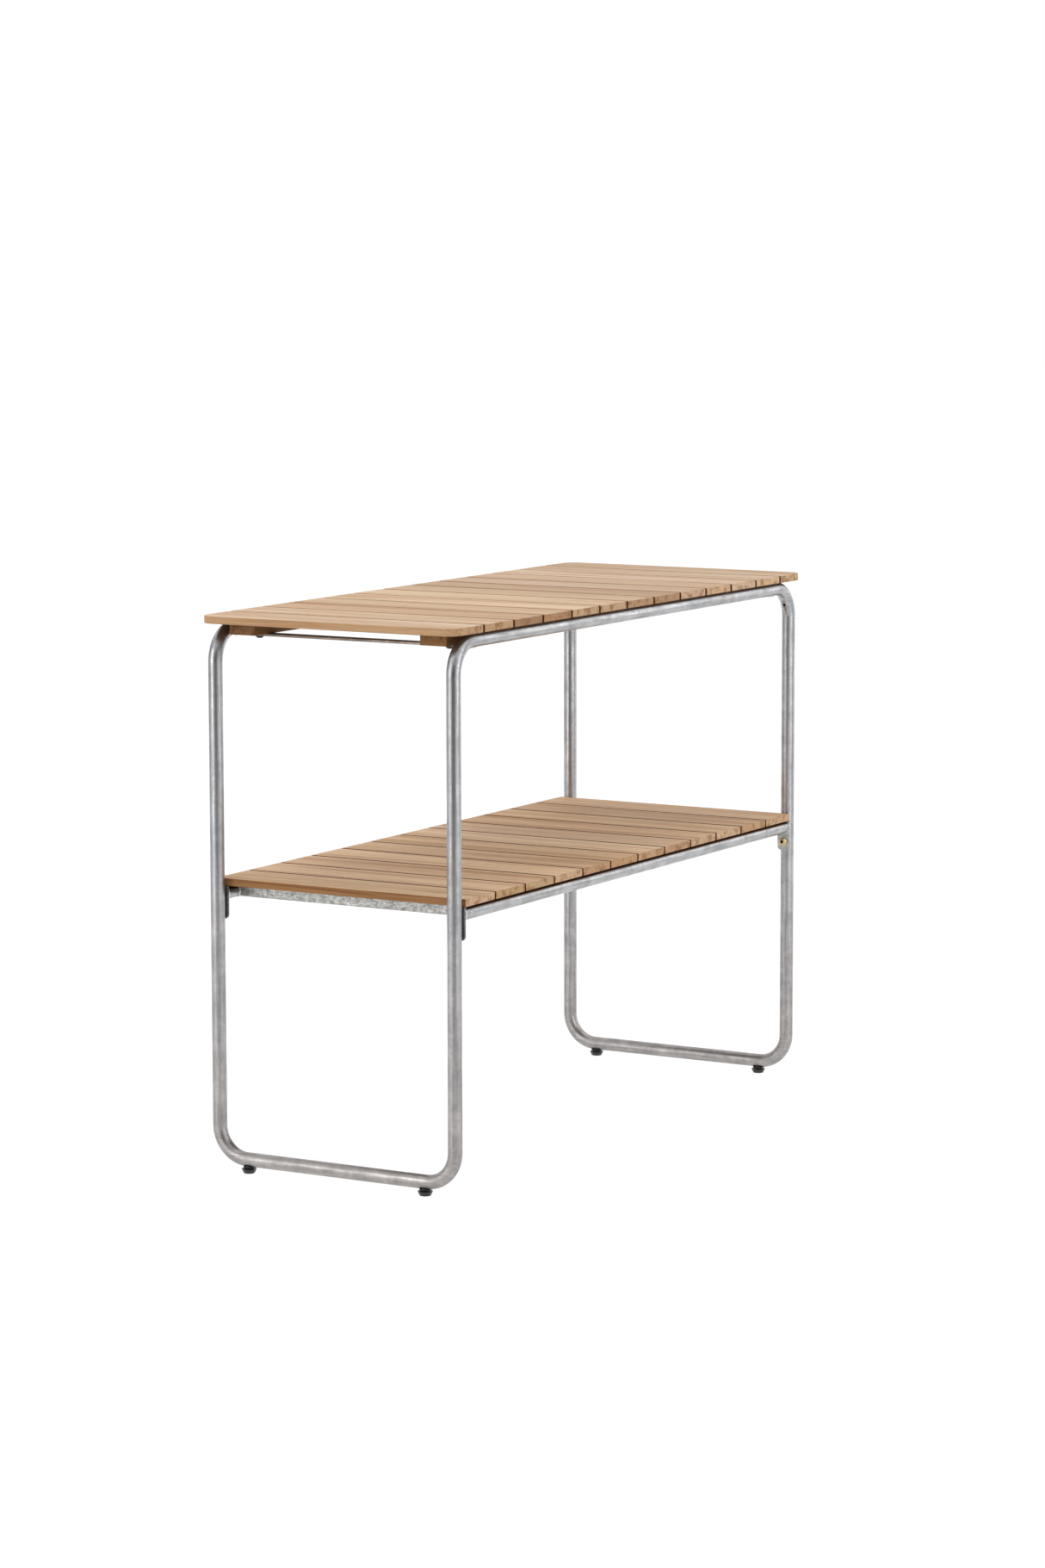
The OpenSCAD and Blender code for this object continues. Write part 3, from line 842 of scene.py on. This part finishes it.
def mirrored(model, name, flipX, flipY):
    # a copy with its own mesh on the other side of the table, its faces turned outwards again
    bpy.ops.object.select_all(action="DESELECT")
    model.select_set(True)
    bpy.context.view_layer.objects.active = model
    bpy.ops.object.duplicate()
    copy = bpy.context.object
    copy.name = name
    copy.scale = (flipX, flipY, 1)
    bpy.ops.object.transform_apply(location=True, rotation=True, scale=True)
    bpy.ops.object.mode_set(mode="EDIT")
    bpy.ops.mesh.select_all(action="SELECT")
    bpy.ops.mesh.normals_make_consistent(inside=False)
    bpy.ops.object.mode_set(mode="OBJECT")
    return copy


def atFourCorners(model, name):
    # the model is the one at the front left
    beads = [
        model,
        mirrored(model, name + "FrontRight", -1, 1),
        mirrored(model, name + "RearLeft", 1, -1),
        mirrored(model, name + "RearRight", -1, -1),
    ]
    model.name = name + "FrontLeft"
    for bead in beads:
        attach(bead, "frame")


def roundTube(angle, radius):
    # y and z on a circle round the front shelf tube; 0 degrees points to the rear, 90 up
    turn = math.radians(angle)
    return tubeY + radius * math.cos(turn), tubeZ + radius * math.sin(turn)


weldZinc = galvanisedSteel("hot-dip galvanised weld", weldedZinc, "X")
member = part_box("left_shelf_crossmember")
arc = weld["memberArc"]
upwards = range(-arc, arc + 1, weld["memberStep"])
memberRing = []
for x, angles in ((member[0].x, upwards), (member[1].x, reversed(upwards))):
    memberRing += [(x, *roundTube(angle, tubeRadius + weld["lift"])) for angle in angles]
memberRing.append(memberRing[0])
atFourCorners(weldBead("memberWeld", memberRing, weld["memberDab"], weldZinc), "memberWeld")

first, last = weld["plateArc"]
plateRing = [(tubeEnd + weld["plateLift"], *roundTube(angle, tubeRadius + weld["plateLift"]))
             for angle in range(first, last + 1, weld["plateStep"])]
atFourCorners(weldBead("plateWeld", plateRing, weld["plateDab"], weldZinc), "plateWeld")

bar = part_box("left_top_crossbar")
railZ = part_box("front_hoop")[1].z - tubeRadius
topReach = tubeY + math.sqrt(tubeRadius ** 2 - (bar[1].z - railZ) ** 2) + weld["lift"]
barRing = [
    (bar[0].x, bar[0].y, bar[0].z),
    (bar[1].x, bar[0].y, bar[0].z),
    (bar[1].x, topReach, bar[1].z),
    (bar[0].x, topReach, bar[1].z),
    (bar[0].x, bar[0].y, bar[0].z),
]
atFourCorners(weldBead("barWeld", barRing, weld["barDab"], weldZinc), "barWeld")

plugRing = []
for angle in range(0, 361, plug["step"]):
    turn = math.radians(angle)
    along = tubeEnd + plug["fromEnd"] + plug["radius"] * math.cos(turn)
    up = plug["radius"] * math.sin(turn)
    bulge = math.sqrt(tubeRadius ** 2 - up ** 2)
    plugRing.append((along, tubeY - bulge, tubeZ + up))
atFourCorners(weldBead("plugWeld", plugRing, plug["dab"], weldZinc), "plugWeld")
print("weld beads laid")


tarnished = {
    "size": 3.0,              # mm, patches of tarnish
    "shade": (0.80, 1.15),    # how light the darkest and the lightest patch are
    "smoother": 0.06,         # how far the patches change the roughness either way
    "rougher": 0.10,
}


def fastenerMetal(name, look):
    # Metal of a small part, plated, machined or blackened: even and fine-grained, bright
    # except where it is blackened, with faint patches of tarnish. Where its look has
    # sockets, they give the y, z and radius of bolts' sockets, which are painted dark as
    # the shade in their recesses.
    material, tree = newMaterial(name)
    place = addNode(tree, "ShaderNodeTexCoord").outputs["Object"]
    tarnish = addNode(tree, "ShaderNodeTexNoise", {
        "Vector": place,
        "Scale": perMetre(tarnished["size"]),
        "Detail": 3.0,
    }).outputs["Fac"]
    bright = addNode(tree, "ShaderNodeMapRange", {
        "Value": tarnish,
        "To Min": tarnished["shade"][0],
        "To Max": tarnished["shade"][1],
    }).outputs[0]
    # painted shade in the recesses of the bolts' sockets
    if "sockets" in look:
        sockets = look["sockets"]
        parts = addNode(tree, "ShaderNodeSeparateXYZ", {0: place})
        side = addNode(tree, "ShaderNodeMath", {0: parts.outputs["Y"]}, operation="ABSOLUTE")
        flat = addNode(tree, "ShaderNodeCombineXYZ", {
            "Y": side.outputs[0],
            "Z": parts.outputs["Z"],
        })
        away = addNode(tree, "ShaderNodeVectorMath", {
            0: flat.outputs[0],
            1: (0, sockets["y"], sockets["z"]),
        }, operation="DISTANCE")
        bright = addNode(tree, "ShaderNodeMapRange", {
            "Value": away.outputs["Value"],
            "From Min": sockets["radius"],
            "From Max": sockets["radius"] + sockets["edge"],
            "To Min": sockets["dark"],
            "To Max": bright,
        }).outputs[0]
    colour = addNode(tree, "ShaderNodeVectorMath", {
        0: colourOf(look["colour"])[:3],
        "Scale": bright,
    }, operation="SCALE")
    rough = addNode(tree, "ShaderNodeMapRange", {
        "Value": tarnish,
        "To Min": look["rough"] - tarnished["smoother"],
        "To Max": look["rough"] + tarnished["rougher"],
    })
    shader = addNode(tree, "ShaderNodeBsdfPrincipled", {
        "Base Color": colour.outputs[0],
        "Metallic": 1.0,
        "Roughness": rough.outputs[0],
    })
    addNode(tree, "ShaderNodeOutputMaterial", {"Surface": shader.outputs[0]})
    return material


footNylon = {
    "colour": "#171716",
    "skinSize": 1.5,          # mm, orange peel
    "rough": (0.22, 0.42),    # of its smoothest and roughest spots
    "ior": 1.53,
    "relief": 0.15,
    "reliefDepth": 0.0002,    # metres
}


def mouldedNylon(name, look):
    # Injection-moulded black nylon: a soft gloss with a faint orange-peel skin.
    material, tree = newMaterial(name)
    place = addNode(tree, "ShaderNodeTexCoord").outputs["Object"]
    skin = addNode(tree, "ShaderNodeTexNoise", {
        "Vector": place,
        "Scale": perMetre(look["skinSize"]),
        "Detail": 2.0,
    }).outputs["Fac"]
    rough = addNode(tree, "ShaderNodeMapRange", {
        "Value": skin,
        "To Min": look["rough"][0],
        "To Max": look["rough"][1],
    })
    bump = addNode(tree, "ShaderNodeBump", {
        "Strength": look["relief"],
        "Distance": look["reliefDepth"],
        "Height": skin,
    })
    shader = addNode(tree, "ShaderNodeBsdfPrincipled", {
        "Base Color": colourOf(look["colour"]),
        "Roughness": rough.outputs[0],
        "IOR": look["ior"],
        "Normal": bump.outputs[0],
    })
    addNode(tree, "ShaderNodeOutputMaterial", {"Surface": shader.outputs[0]})
    return material


boltLow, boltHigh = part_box("shelf_bolts")
boltRadius = (boltHigh.z - boltLow.z) / 2
# painted shade in the bolts' sockets
boltSockets = {
    "y": boltHigh.y - boltRadius,
    "z": boltLow.z + boltRadius,
    "radius": 0.42 * boltRadius,    # a socket is narrower than its head
    "edge": 0.0002,                 # metres in which the painted shade ends
    "dark": 0.10,                   # how light the painted shade leaves the metal
}
fastenerLooks = {
    "yellow passivated zinc plate": {"colour": "#CBB084", "rough": 0.32, "sockets": boltSockets},
    # painted shade: the batten bolts' heads under the top are darkened for the shade there
    "zinc plate darkened as painted shade": {"colour": "#4A4642", "rough": 0.36},
    "clear zinc plate": {"colour": "#C4C4BE", "rough": 0.34},
    "machined brass": {"colour": "#C9A25B", "rough": 0.28},
    "black oxide steel": {"colour": "#2B2B2B", "rough": 0.40},
}
metals = {name: fastenerMetal(name, look) for name, look in fastenerLooks.items()}
nylon = mouldedNylon("moulded black nylon", footNylon)
dress("shelf_bolts", metals["yellow passivated zinc plate"])
dress("batten_bolts", metals["zinc plate darkened as painted shade"])
for nodeName in ("shelf_bolt_washers", "top_slat_screws", "shelf_slat_screws"):
    dress(nodeName, metals["clear zinc plate"])
dress("batten_inserts", metals["machined brass"])
dress("foot_bushes", nylon)
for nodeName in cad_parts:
    if nodeName.startswith("foot_pad"):
        dress(nodeName, nylon)
    if nodeName.startswith("foot_stud"):
        dress(nodeName, metals["black oxide steel"])
print("fasteners and feet dressed")
